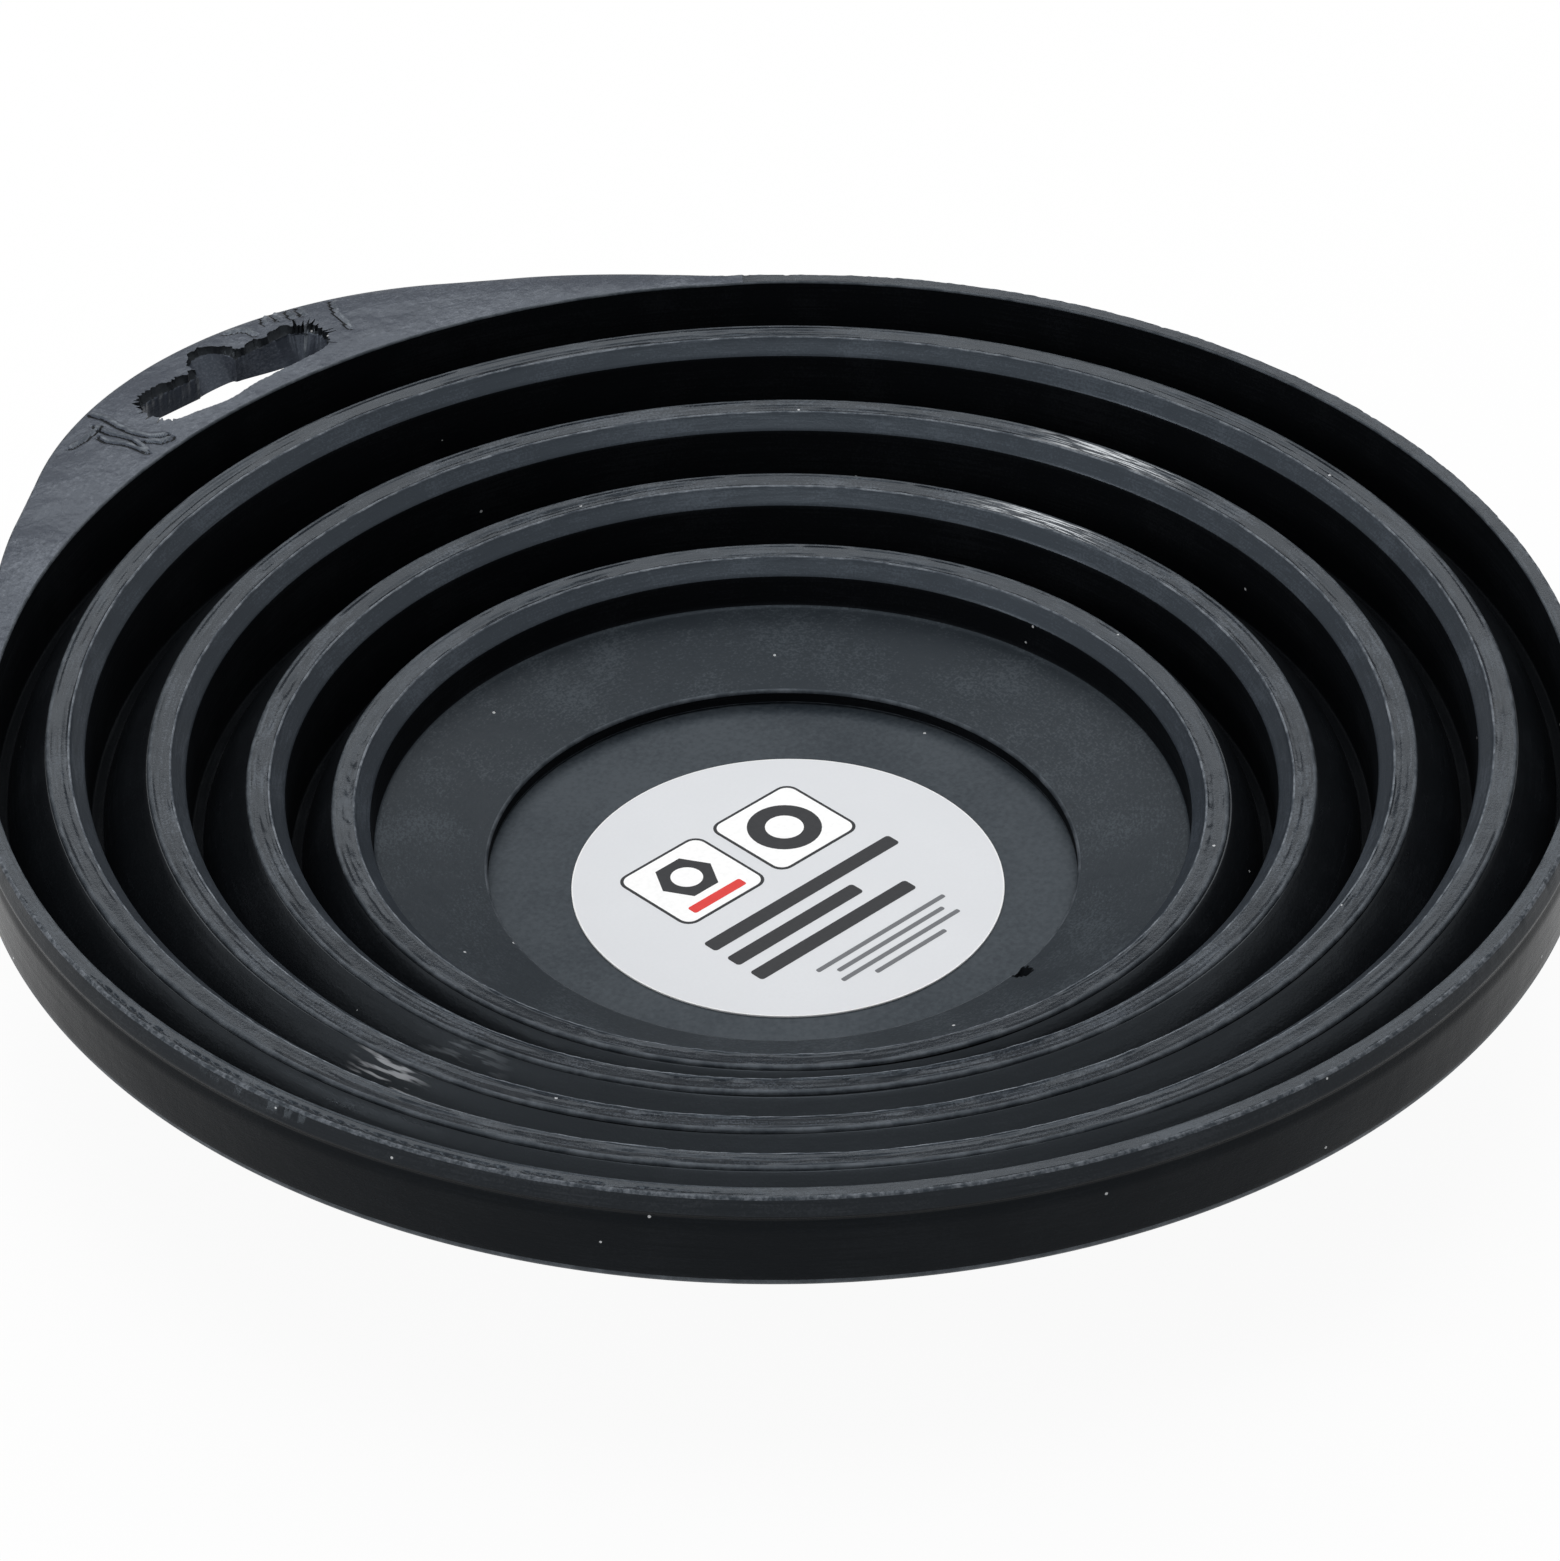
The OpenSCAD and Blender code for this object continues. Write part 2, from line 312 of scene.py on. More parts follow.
# Label
# A round sticker of silver-grey film, die cut and stuck on the disc by hand, a little off
# centre. Its print is plain: two boxes with a nut and a washer, wide bars and thin lines.
film, tree, shader = new_finish("label_film")
film_cloud = noise(tree, 160, detail=3)
film_fleck = noise(tree, 5200)
film_share = worked(tree, "MULTIPLY_ADD", film_cloud, film_fleck, 0.05)
fill_in(shader, {"Base Color": blended(tree, film_share, (0.60, 0.615, 0.64), (0.66, 0.675, 0.70)),
                 "Roughness": 0.45, "Specular IOR Level": 0.4})

edge_film, tree, shader = new_finish("label_edge")
edge_shade = blended(tree, noise(tree, 700), (0.70, 0.71, 0.72), (0.78, 0.785, 0.79))
fill_in(shader, {"Base Color": edge_shade, "Roughness": 0.5})

label_low, label_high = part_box("label")
label_centre = (label_low + label_high) / 2
label_radius = (label_high.x - label_low.x) / 2
label_border = 0.12 * mm
label_corners = np.array([(0, label_low.z), (label_radius, label_low.z), (label_radius, label_high.z),
                          (label_radius - label_border, label_high.z), (0, label_high.z)])
label_roundings = [0, 0.02 * mm, 0.05 * mm, 0, 0]
label_steps = 360
label_outline = rounded(label_corners, label_roundings, closed=False)
label_outline = np.repeat(label_outline[None], label_steps, axis=0)
print_face, cut_edge = range(2)
label_strips = strip_finishes([cut_edge] * 3 + [print_face] * 2, label_roundings)
sticker = turned("sticker", label_outline, label_strips, [film, edge_film],
                 even_turn(label_steps), closed=False)
sticker.data.transform(Matrix.Translation((label_centre.x, label_centre.y, 0)))
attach(sticker, "base")
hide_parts("label")


def ink(name, shade):
    """A printed colour with the slight mottle of screen print."""
    material, tree, shader = new_finish(name)
    mottle = noise(tree, 2400, detail=4)
    lighter = tuple(min(1, part * 1.18 + 0.01) for part in shade)
    fill_in(shader, {"Base Color": blended(tree, mottle, shade, lighter), "Roughness": 0.5,
                     "Specular IOR Level": 0.2})
    return material


def box_points(x, y, width, height, rounding):
    """Outline of a box with round corners about a centre, in millimetres."""
    points = []
    for quarter in range(4):
        side = (1 if quarter in (0, 3) else -1, 1 if quarter in (0, 1) else -1)
        centre = (x + side[0] * (width / 2 - rounding), y + side[1] * (height / 2 - rounding))
        for step in range(7):
            angle = math.radians(90 * quarter + 15 * step)
            points.append((centre[0] + rounding * math.cos(angle), centre[1] + rounding * math.sin(angle)))
    return points


def round_points(x, y, radius, sides, turn=0):
    """Outline of a circle, or of a regular shape with few sides, in millimetres."""
    angles = [math.radians(turn) + 2 * math.pi * side / sides for side in range(sides)]
    return [(x + radius * math.cos(angle), y + radius * math.sin(angle)) for angle in angles]


dark_ink, white_ink, red_ink, pale_ink = range(4)
first_box = (-4.9, 5.4)
second_box = (4.9, 5.4)
box_width = 8.6
box_height = 8.2
box_line = 0.5
print_shapes = []
for box in (first_box, second_box):
    print_shapes.append((dark_ink, 1, box_points(*box, box_width, box_height, 1.1)))
    print_shapes.append((white_ink, 2, box_points(*box, box_width - box_line, box_height - box_line, 0.9)))
nut = (first_box[0], first_box[1] + 0.6)
underline = (first_box[0], first_box[1] - 2.75)
print_shapes += [(dark_ink, 3, round_points(*nut, 2.5, 6)), (white_ink, 4, round_points(*nut, 1.25, 32)),
                 (red_ink, 3, box_points(*underline, 5.4, 0.9, 0.2)),
                 (dark_ink, 3, round_points(*second_box, 2.9, 40)),
                 (white_ink, 4, round_points(*second_box, 1.5, 32))]
bar_left = -9.8
bar_top = -1.6
bar_spacing = 2.5
bar_thick = 1.35
for row, length in enumerate((19.6, 13.2, 16.4)):
    bar = (bar_left + length / 2, bar_top - bar_spacing * row)
    print_shapes.append((dark_ink, 1, box_points(*bar, length, bar_thick, 0.3)))
line_middle = 0.6
line_top = -9.4
line_spacing = 1.05
line_thick = 0.42
for row, length in enumerate((13.5, 11.2, 12.4, 7.4)):
    line = (line_middle, line_top - line_spacing * row)
    print_shapes.append((pale_ink, 1, box_points(*line, length, line_thick, 0.15)))

print_mesh = bpy.data.meshes.new("label_print")
print_work = bmesh.new()
ink_layer = 0.012 * mm
for colour, layer, points in print_shapes:
    low_ring = [print_work.verts.new((x * mm, y * mm, 0)) for x, y in points]
    high_ring = [print_work.verts.new((x * mm, y * mm, layer * ink_layer)) for x, y in points]
    shape_faces = [print_work.faces.new(high_ring), print_work.faces.new(low_ring[::-1])]
    for place in range(len(points)):
        after = (place + 1) % len(points)
        shape_faces.append(print_work.faces.new((low_ring[place], low_ring[after],
                                                 high_ring[after], high_ring[place])))
    for face in shape_faces:
        face.material_index = colour
print_work.to_mesh(print_mesh)
print_work.free()
for name, shade in (("print_dark", (0.016, 0.017, 0.02)), ("print_white", (0.8, 0.8, 0.8)),
                    ("print_red", (0.6, 0.03, 0.026)), ("print_pale", (0.12, 0.125, 0.135))):
    print_mesh.materials.append(ink(name, shade))
print_mesh.transform(Matrix.Translation((label_centre.x, label_centre.y, label_high.z)))
label_print = placed("label_print", print_mesh)
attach(label_print, "base")

# Base cup
# The innermost band of the black rubber moulding: its crest, the wall below, the sloping floor
# with a round opening and a bite torn out of its lip, and the skirt stretched over the puck.
chance = np.random.default_rng(11)


def ragged(steps, length):
    """Random values round a ring, of mean 0 and spread 1, that change over about length steps."""
    waves = np.fft.rfft(chance.standard_normal(steps))
    waves *= np.exp(-0.5 * (2 * length * np.arange(len(waves)) / steps) ** 2)
    smooth = np.fft.irfft(waves, steps)
    return (smooth - smooth.mean()) / smooth.std()


def turned_place(tree, along, across):
    """Texture places that change slowly round the axis and quickly across the outline."""
    split = put(tree, "ShaderNodeSeparateXYZ", {0: object_place(tree)})
    plan = put(tree, "ShaderNodeCombineXYZ", {0: split.outputs[0], 1: split.outputs[1]})
    radius = put(tree, "ShaderNodeVectorMath", {0: plan.outputs[0]}, operation="LENGTH")
    way = put(tree, "ShaderNodeVectorMath", {0: plan.outputs[0]}, operation="NORMALIZE")
    slow = put(tree, "ShaderNodeVectorMath", {0: way.outputs["Vector"], "Scale": along}, operation="SCALE")
    rise_share = 1.7
    path = worked(tree, "MULTIPLY_ADD", split.outputs[2], rise_share, radius.outputs["Value"])
    quick = worked(tree, "MULTIPLY", path, across)
    parts = put(tree, "ShaderNodeSeparateXYZ", {0: slow.outputs["Vector"]})
    return put(tree, "ShaderNodeCombineXYZ", {0: parts.outputs[0], 1: parts.outputs[1],
                                              2: quick}).outputs[0]


def dirt_and_highlight_strokes(tree, colour, spots):
    """A colour output with strokes of another colour about spots of (x, y, z, reach, colour), in mm: dark
    spots of dirt and pale spots of painted highlight.
    """
    stroke = ramp(tree, noise(tree, 1, place=turned_place(tree, 16, 7000)), 0.5, 0.6)
    for x, y, z, reach, shade in spots:
        gap = put(tree, "ShaderNodeVectorMath", {0: object_place(tree), 1: (x * mm, y * mm, z * mm)},
                  operation="DISTANCE").outputs["Value"]
        near = ramp(tree, gap, reach * mm, 0.35 * reach * mm)
        colour = blended(tree, worked(tree, "MULTIPLY", near, stroke), colour, shade)
    return colour


def rubber(name, groove_shade, plain, scratch, rough, gloss, depth, dust, spots=(), along=7,
           swell=0.1 * mm):
    """Moulded black rubber with grooves and pale scratches round the axis, fine grain and dust; the grooves
    are painted darker as shade, and the spots add dirt and painted highlights.
    """
    material, tree, shader = new_finish(name)
    streaks = noise(tree, 1, detail=4, roughness=0.6, place=turned_place(tree, along, 3800))
    clouds = noise(tree, 170, detail=4)
    grain = noise(tree, 5200, detail=3)
    # Low streaks, where the bump sinks into grooves, take the darker colour: painted shade in the grooves.
    colour = blended(tree, ramp(tree, streaks, 0.27, 0.42), groove_shade, plain)
    height = worked(tree, "ADD", worked(tree, "ADD", streaks, grain), clouds)
    colour = blended(tree, ramp(tree, height, 1.5, 1.78), colour, scratch)
    colour = dirt_and_highlight_strokes(tree, colour, spots)
    broad = bumped(tree, clouds, 1, swell)
    deep = bumped(tree, streaks, depth, 0.08 * mm, broad)
    fill_in(shader, {"Base Color": dusted(tree, colour, 2.2 * mm, dust),
                     "Normal": bumped(tree, grain, 0.35, 0.03 * mm, deep),
                     "Roughness": spread_to(tree, streaks, *rough),
                     "Specular IOR Level": gloss, "Specular Tint": cool_gloss})
    return material


def worn_and_highlit_rubber(name, plain, wear_and_highlight, patch):
    """Rubber along an edge, painted pale in broken patches about a patch long: wear, and painted highlights
    along the edge.
    """
    material, tree, shader = new_finish(name)
    rub = noise(tree, 1 / patch, detail=6, roughness=0.7)
    fill_in(shader, {"Base Color": blended(tree, ramp(tree, rub, 0.42, 0.62), plain, wear_and_highlight),
                     "Normal": bumped(tree, rub, 0.4, 0.08 * mm), "Roughness": 0.5,
                     "Specular IOR Level": 0.3, "Specular Tint": cool_gloss})
    return material


# The walls inside the valleys, under the crests and round the opening take a near-black copy of the same
# rubber: painted shade where light does not reach.
shaded_wall_rubber = rubber("shaded_wall_rubber", groove_shade=(0.0022, 0.0026, 0.0032), plain=(0.003, 0.0035, 0.0043),
                     scratch=(0.006, 0.0068, 0.008), rough=(0.6, 0.5), gloss=0.03, depth=0.2, dust=0.05)
dirt = (0.002, 0.002, 0.0025)
crest_pit = (38.0, -37.6, 24.0, 0.9, dirt)
crest_rubber = rubber("crest_rubber", groove_shade=(0.005, 0.0066, 0.009), plain=(0.009, 0.0118, 0.016),
                      scratch=(0.025, 0.031, 0.039), rough=(0.23, 0.18), gloss=0.26, depth=0.06,
                      dust=0.1, spots=[crest_pit], along=14)
floor_dirt = (19.8, -10.9, 9.8, 0.9, dirt)
floor_rubber = rubber("floor_rubber", groove_shade=(0.0105, 0.0138, 0.0175), plain=(0.0125, 0.0163, 0.0205),
                      scratch=(0.030, 0.037, 0.044), rough=(0.5, 0.42), gloss=0.2, depth=0.08,
                      dust=0.14, spots=[floor_dirt], along=60, swell=0.2 * mm)
# Pale patches on the crests of two rings: painted highlights.
highlight_pale = (0.5, 0.52, 0.54)
highlight_spots = [(44.4, 8.8, 20.9, 8, highlight_pale), (36.8, 9.3, 18.3, 7, highlight_pale)]
scuffed_and_highlit_rubber = rubber("scuffed_and_highlit_rubber", groove_shade=(0.003, 0.004, 0.0055), plain=(0.009, 0.0118, 0.016),
                        scratch=(0.042, 0.050, 0.061), rough=(0.25, 0.19), gloss=0.23, depth=0.12,
                        dust=0.12, spots=highlight_spots, along=11)
# The ridges and rounded edges take paler rubber in broken patches: painted highlights along them, and wear.
ridge_highlight_rubber = worn_and_highlit_rubber("ridge_highlight_rubber", plain=(0.034, 0.041, 0.051), wear_and_highlight=(0.15, 0.165, 0.185),
                           patch=1.4 * mm)
edge_highlight_rubber = worn_and_highlit_rubber("edge_highlight_rubber", plain=(0.018, 0.022, 0.027), wear_and_highlight=(0.06, 0.068, 0.078),
                          patch=1.9 * mm)
# The outer walls under the crests and of the rim take a darker copy of the rubber: painted shade on walls
# that the overhead light misses.
shaded_outer_rubber = rubber("shaded_outer_rubber", groove_shade=(0.0025, 0.003, 0.0036), plain=(0.0035, 0.004, 0.0048),
                      scratch=(0.006, 0.0068, 0.008), rough=(0.32, 0.22), gloss=0.085, depth=0.1, dust=0.3)
facet_rubber = rubber("facet_rubber", groove_shade=(0.011, 0.014, 0.0182), plain=(0.016, 0.0202, 0.0262),
                      scratch=(0.032, 0.039, 0.049), rough=(0.4, 0.32), gloss=0.3, depth=0.1,
                      dust=0.1, along=20)
rubber_finishes = [shaded_wall_rubber, crest_rubber, floor_rubber, scuffed_and_highlit_rubber, ridge_highlight_rubber, edge_highlight_rubber,
                   shaded_outer_rubber, facet_rubber]
(wall, smooth_crest, floor_finish, scuffed_highlit_crest, ridge_highlight, edge_highlight,
 shaded_outer_wall, facet_finish) = range(len(rubber_finishes))

crest_width = 2.9 * mm
crest_flat = 1.75 * mm
crest_dip = 0.18 * mm
crest_drop = 1.3 * mm
crest_face = 1.2 * mm
band_wall = 1.6 * mm
turn_steps = 720
groove_count = 26
groove_depth = 18
groove_steps = (5, 30)


def crest_corners(radius, top, finish):
    """Corners of a band from the wall under its crest, over the crest, to the wall inside it."""
    wall_out = radius - crest_width + band_wall
    ridge = (radius - crest_flat, top - crest_dip)
    inside = (radius - crest_width, top - crest_drop)
    corners = [(wall_out, top - crest_face, 0.15 * mm, wall), (radius, top - crest_face, 0.15 * mm, wall),
               (radius, top, 0.3 * mm, finish, edge_highlight)]
    for share in np.linspace(0.26, 0.88, 8):
        corners.append((radius - share * crest_flat, top - share * crest_dip, 0, finish))
    corners.append((*ridge, 0.09 * mm, facet_finish, ridge_highlight))
    for share in (0.2, 0.3, 0.4, 0.5, 0.6, 0.7):
        corners.append((ridge[0] + share * (inside[0] - ridge[0]),
                        ridge[1] + share * (inside[1] - ridge[1]), 0, facet_finish))
    corners.append((*inside, 0.25 * mm, wall))
    return corners


def steep(share):
    """A share from 0 to 1 with a soft start and end."""
    share = np.clip(share, 0, 1)
    return share ** 2 * (3 - 2 * share)


def crest_worn(outline, radius, top, scratch, ridge_lift):
    """The band's outlines with scratches and grooves round the crest, a parting line and a slight sway."""
    ridge_reach = 0.2 * mm
    sway_reach = 3 * mm
    sway_out = 0.09 * mm
    sway_up = 0.05 * mm
    steps = outline.shape[0]
    worn = outline.copy()
    on_crest = outline[0, :, 1] > top - crest_drop + 0.1 * mm
    for point in np.flatnonzero(on_crest):
        worn[:, point, 1] -= scratch * np.clip(ragged(steps, 16) + 0.3, 0, 2)
    across = (radius - outline[0, :, 0]) / crest_flat
    beside_ridge = np.flatnonzero(on_crest & (across > 0.45) & (across < 0.9))
    for _ in range(groove_count):
        point = chance.choice(beside_ridge)
        length = chance.uniform(*groove_steps)
        from_middle = np.abs((np.arange(steps) - chance.uniform(0, steps) + steps / 2) % steps - steps / 2)
        cut = steep((length - from_middle) / 3) * np.clip(0.75 + 0.3 * ragged(steps, 3), 0.2, 1.3)
        worn[:, point, 1] -= groove_depth * scratch * cut
    ridge = np.array((radius - crest_flat, top - crest_dip))
    near = np.clip(1 - np.linalg.norm(outline[0] - ridge, axis=-1) / ridge_reach, 0, 1)
    lift = ridge_lift * np.clip(0.75 + 0.35 * ragged(steps, 10) + 0.35 * ragged(steps, 1.5), 0, 1.6)
    worn[..., 1] += lift[:, None] * near[None]
    high = np.clip((outline[0, :, 1] - top + sway_reach) / sway_reach, 0, 1)
    worn[..., 0] += sway_out * ragged(steps, 90)[:, None] * high[None]
    worn[..., 1] += sway_up * ragged(steps, 100)[:, None] * high[None]
    return worn


def band(name, corners, radius, top, scratch, ridge_lift):
    """A turned rubber band with its worn crest, from corners of (radius, height, rounding, finish).

    A fifth value of a corner is the finish of its curve.
    """
    places = np.array([corner[:2] for corner in corners])
    roundings = [corner[2] for corner in corners]
    edges = [(place, corner[4]) for place, corner in enumerate(corners) if len(corner) > 4]
    outline = np.repeat(rounded(places, roundings)[None], turn_steps, axis=0)
    outline = crest_worn(outline, radius, top, scratch, ridge_lift)
    strips = strip_finishes([corner[3] for corner in corners], roundings, edges)
    return turned(name, outline, strips, rubber_finishes, even_turn(turn_steps))


cup_low, cup_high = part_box("base_cup")
cup_radius = cup_high.x
cup_crest = cup_high.z
skirt_radius = cup_radius - crest_width + band_wall
grip_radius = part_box("base_cover")[1].x - 1.0 * mm
cavity_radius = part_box("floor_disc")[1].x + 0.2 * mm
flange_low = 1.8 * mm
opening_radius = label_radius + 6 * mm
lip_low = disc_top + 0.12 * mm
lip_foot = 1.5 * mm
lip_top = disc_top + 1.3 * mm
floor_top = lip_top + 2.45 * mm
cup_corners = [(grip_radius, cup_low.z, 0.2 * mm, wall), (skirt_radius, cup_low.z, 0.4 * mm, shaded_outer_wall)]
cup_corners += crest_corners(cup_radius, cup_crest, smooth_crest)
cup_corners.append((cup_radius - crest_width, floor_top, 0.35 * mm, floor_finish))
floor_run = cup_radius - crest_width - opening_radius
for from_lip in np.linspace(1.8, 0.55, 6) * mm:
    floor_height = lip_top + (floor_top - lip_top) * from_lip / floor_run
    cup_corners.append((opening_radius + from_lip, floor_height, 0, floor_finish))
cup_corners += [(opening_radius, lip_top, 0.22 * mm, wall, edge_highlight),
                (opening_radius, lip_low, 0.15 * mm, wall, edge_highlight),
                (opening_radius + lip_foot, lip_low, 0, wall),
                (cavity_radius, disc_top, 0, wall), (cavity_radius, flange_low, 0, wall),
                (grip_radius, flange_low, 0, wall)]
cup = band("cup", cup_corners, cup_radius, cup_crest, scratch=0.005 * mm, ridge_lift=0.06 * mm)

# The bite in the lip: points near it are pushed down, and its faces get the walls' near-black rubber,
# painted shade in the hollow.
bite_turn = math.radians(-83.8)
bite_radius = opening_radius + 0.55 * mm
bite_place = Vector((bite_radius * math.cos(bite_turn), bite_radius * math.sin(bite_turn), lip_top))
bite_reach = 0.85 * mm
bite_depth = 0.75 * mm
bite_side = 0.3 * mm
bite_chance = np.random.default_rng(8)
for point in cup.data.vertices:
    inside = bite_reach * bite_chance.uniform(0.75, 1) - (point.co - bite_place).length
    if inside > 0 and point.co.z > lip_top - bite_side:
        point.co.z -= bite_depth * min(1, inside / bite_side)
for face in cup.data.polygons:
    in_bite = (face.center - bite_place).length < bite_reach
    if in_bite and face.material_index in (floor_finish, edge_highlight):
        face.material_index = wall
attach(cup, "base")
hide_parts("base_cup")

# Rings
# The three bands between the cup and the rim, of the same rubber moulding. Each has a flat
# crest with a parting line along it, and a hinge bead along the inside of its foot.
bead = 1.0 * mm
ring_finishes = {"ring_3": (scuffed_highlit_crest, 0.006 * mm, 0.06 * mm),
                 "ring_2": (scuffed_highlit_crest, 0.006 * mm, 0.06 * mm),
                 "ring_1": (smooth_crest, 0.005 * mm, 0.07 * mm)}
for node, (finish, scratch, ridge_lift) in ring_finishes.items():
    ring_low, ring_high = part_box(node)
    ring_radius = ring_high.x
    ring_foot = ring_low.z
    wall_in = ring_radius - crest_width
    ring_corners = [(wall_in - bead, ring_foot, 0.2 * mm, wall),
                    (wall_in + band_wall, ring_foot, 0.3 * mm, shaded_outer_wall)]
    ring_corners += crest_corners(ring_radius, ring_high.z, finish)
    ring_corners += [(wall_in, ring_foot + bead, 0.2 * mm, wall),
                     (wall_in - bead, ring_foot + bead, 0.2 * mm, wall)]
    ring = band(node + "_band", ring_corners, ring_radius, ring_high.z, scratch, ridge_lift)
    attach(ring, node)
    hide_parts(node)

# Fold webs
# Thin walls of the same rubber that join each band's foot to the crest of the next band inside it. On the
# tray they turn inside out as the bowl opens; here each is built at rest.
# Pale patches on the webs on the left: painted highlights.
web_highlight_spots = [(-47.2, -9.2, 20.6, 3.6, (0.34, 0.35, 0.37)),
               (-39.6, -8.7, 18.0, 4.2, (0.07, 0.077, 0.085))]
# The webs take a near-black copy of the rubber: painted shade down in the folds.
web_rubber = rubber("web_rubber", groove_shade=(0.003, 0.0036, 0.0045), plain=(0.004, 0.0047, 0.0058),
                    scratch=(0.008, 0.0092, 0.011), rough=(0.36, 0.26), gloss=0.3, depth=0.15,
                    dust=0.12, spots=web_highlight_spots)
web_bodies = {"fold_web_4": ("ring_3", "base", "base_cup"), "fold_web_3": ("ring_2", "ring_3", "ring_3"),
              "fold_web_2": ("ring_1", "ring_2", "ring_2"), "fold_web_1": ("rim", "ring_1", "ring_1")}
web_steps = 360
web_thick = 0.7 * mm
web_lean = 1.3 * mm
web_drop = 1.6 * mm
bead_gap = 0.1 * mm
shoulder_out = 0.03 * mm
shoulder_drop = 0.36 * mm
sunk = 0.3 * mm
tucked = np.array((-0.15, 0.1)) * mm
for node, (outer_body, inner_body, crest_node) in web_bodies.items():
    web_low, web_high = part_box(node)
    crest_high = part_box(crest_node)[1]
    bead_edge = web_high.x + bead_gap
    shoulder = np.array((crest_high.x + shoulder_out, crest_high.z - shoulder_drop))
    heel = np.array((bead_edge, web_low.z + bead - bead_gap))
    share = np.linspace(0, 1, 18)[:, None]
    lean = shoulder + web_lean * np.array((1, -1))
    upper = ((1 - share) ** 3 * shoulder + 3 * (1 - share) ** 2 * share * lean
             + 3 * (1 - share) * share ** 2 * (heel + (0, web_drop)) + share ** 3 * heel)
    way = np.gradient(upper, axis=0)
    way /= np.linalg.norm(way, axis=1, keepdims=True)
    lower = upper + web_thick * np.stack((way[:, 1], -way[:, 0]), axis=-1)
    web_places = np.concatenate(([(bead_edge + sunk, heel[1] - web_thick), (bead_edge + sunk, heel[1])],
                                 upper[::-1], [shoulder + tucked], lower[1:-1]))
    web_outline = np.repeat(web_places[None], web_steps, axis=0)
    web = turned(node + "_skin", web_outline, [0] * len(web_places), [web_rubber], even_turn(web_steps))
    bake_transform(web)
    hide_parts(node)

# Rim band and hang tab
# The outermost band of the moulding, with a raised band round its top and, along +Y, a flat tab
# with a slot to hang it by. Flow wrinkles and torn slot ends come from pulling it off the mould.
band_rubber = rubber("band_rubber", groove_shade=(0.009, 0.0103, 0.0122), plain=(0.013, 0.0148, 0.0172),
                     scratch=(0.022, 0.0245, 0.028), rough=(0.34, 0.24), gloss=0.12, depth=0.15, dust=0.25)
# The tab's top takes a much lighter copy of the rubber than the rim's top beside it: painted light where
# the tab catches the lamps.
lit_tab_rubber = rubber("lit_tab_rubber", groove_shade=(0.024, 0.028, 0.037), plain=(0.044, 0.051, 0.066),
                    scratch=(0.082, 0.092, 0.112), rough=(0.36, 0.24), gloss=0.3, depth=0.12,
                    dust=0.1, along=90, swell=0.5 * mm)
# Pale flecks along the rim's top outer edge: painted highlights on the flash, and wear.
flash_highlight_rubber = worn_and_highlit_rubber("flash_highlight_rubber", plain=(0.014, 0.0175, 0.022), wear_and_highlight=(0.105, 0.115, 0.13),
                           patch=0.5 * mm)
rim_finishes = rubber_finishes + [band_rubber, lit_tab_rubber, flash_highlight_rubber]
raised_band, lit_tab_finish, flash_highlight = range(len(rubber_finishes), len(rim_finishes))

rim_low, rim_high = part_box("rim_band")
rim_out = rim_high.x
rim_foot = rim_low.z
flash_room = 0.04 * mm
rim_top = rim_high.z - flash_room
rim_edge = rim_out - 0.45 * mm
rim_in = rim_edge - 1.2 * mm
raised_low = rim_top - 1.6 * mm
crease = 0.18 * mm
crease_start = raised_low - 0.9 * mm
crease_middle = raised_low - 0.15 * mm
crease_end = raised_low + 0.25 * mm
tab_under = rim_top - 2.75 * mm
tab_root = tab_under - 0.5 * mm
tab_fall = 0.24 * mm
tab_turn = 3.0 * mm
tab_dome = 0.14 * mm
dome_start = rim_edge + 2.5 * mm
dome_run = 3.7 * mm
tab_rise = 1.6 * mm
flank_rise = 0.6 * mm
flank_swell = 0.9 * mm
rim_tilt = 0.06 * mm
tab_end = rim_high.y
tab_arc = 35 * mm
tab_centre = tab_end - tab_arc
tab_flank = math.acos((rim_edge - tab_arc) / tab_centre)
tab_arc_side = math.atan2(tab_arc * math.sin(tab_flank), tab_centre + tab_arc * math.cos(tab_flank))


def tab_reach(angles):
    """How far the rim's top reaches at each angle: a round tab end, straight flanks, then the rim."""
    off = np.abs((angles - math.pi / 2 + math.pi) % (2 * math.pi) - math.pi)
    end = tab_centre * np.cos(off) + np.sqrt(np.maximum(tab_arc ** 2 - (tab_centre * np.sin(off)) ** 2, 0))
    side = rim_edge / np.cos(np.minimum(off, tab_flank) - tab_flank)
    along_flank = np.clip((off - tab_arc_side) / (tab_flank - tab_arc_side), 0, 1)
    side += flank_swell * np.sin(math.pi * along_flank ** 0.7)
    return np.where(off < tab_arc_side, end, np.where(off < tab_flank, side, rim_edge))


# Runs of angles in degrees with the steps in each, finer on the tab and finest at its wrinkles.
angle_runs = ((44, 97, 280), (97, 106, 180), (106, 136, 150), (136, 404, 960))
rim_angles = np.radians(np.concatenate([np.linspace(start, end, count, endpoint=False)
                                        for start, end, count in angle_runs]))
rim_steps = len(rim_angles)
shoulder_turns = np.radians(np.linspace(-2.5, 2.5, 11))
reach = np.mean([tab_reach(rim_angles + turn) for turn in shoulder_turns], axis=0)
on_tab = steep((reach - rim_edge) / tab_rise)
on_flank = steep((reach - rim_edge) / flank_rise)


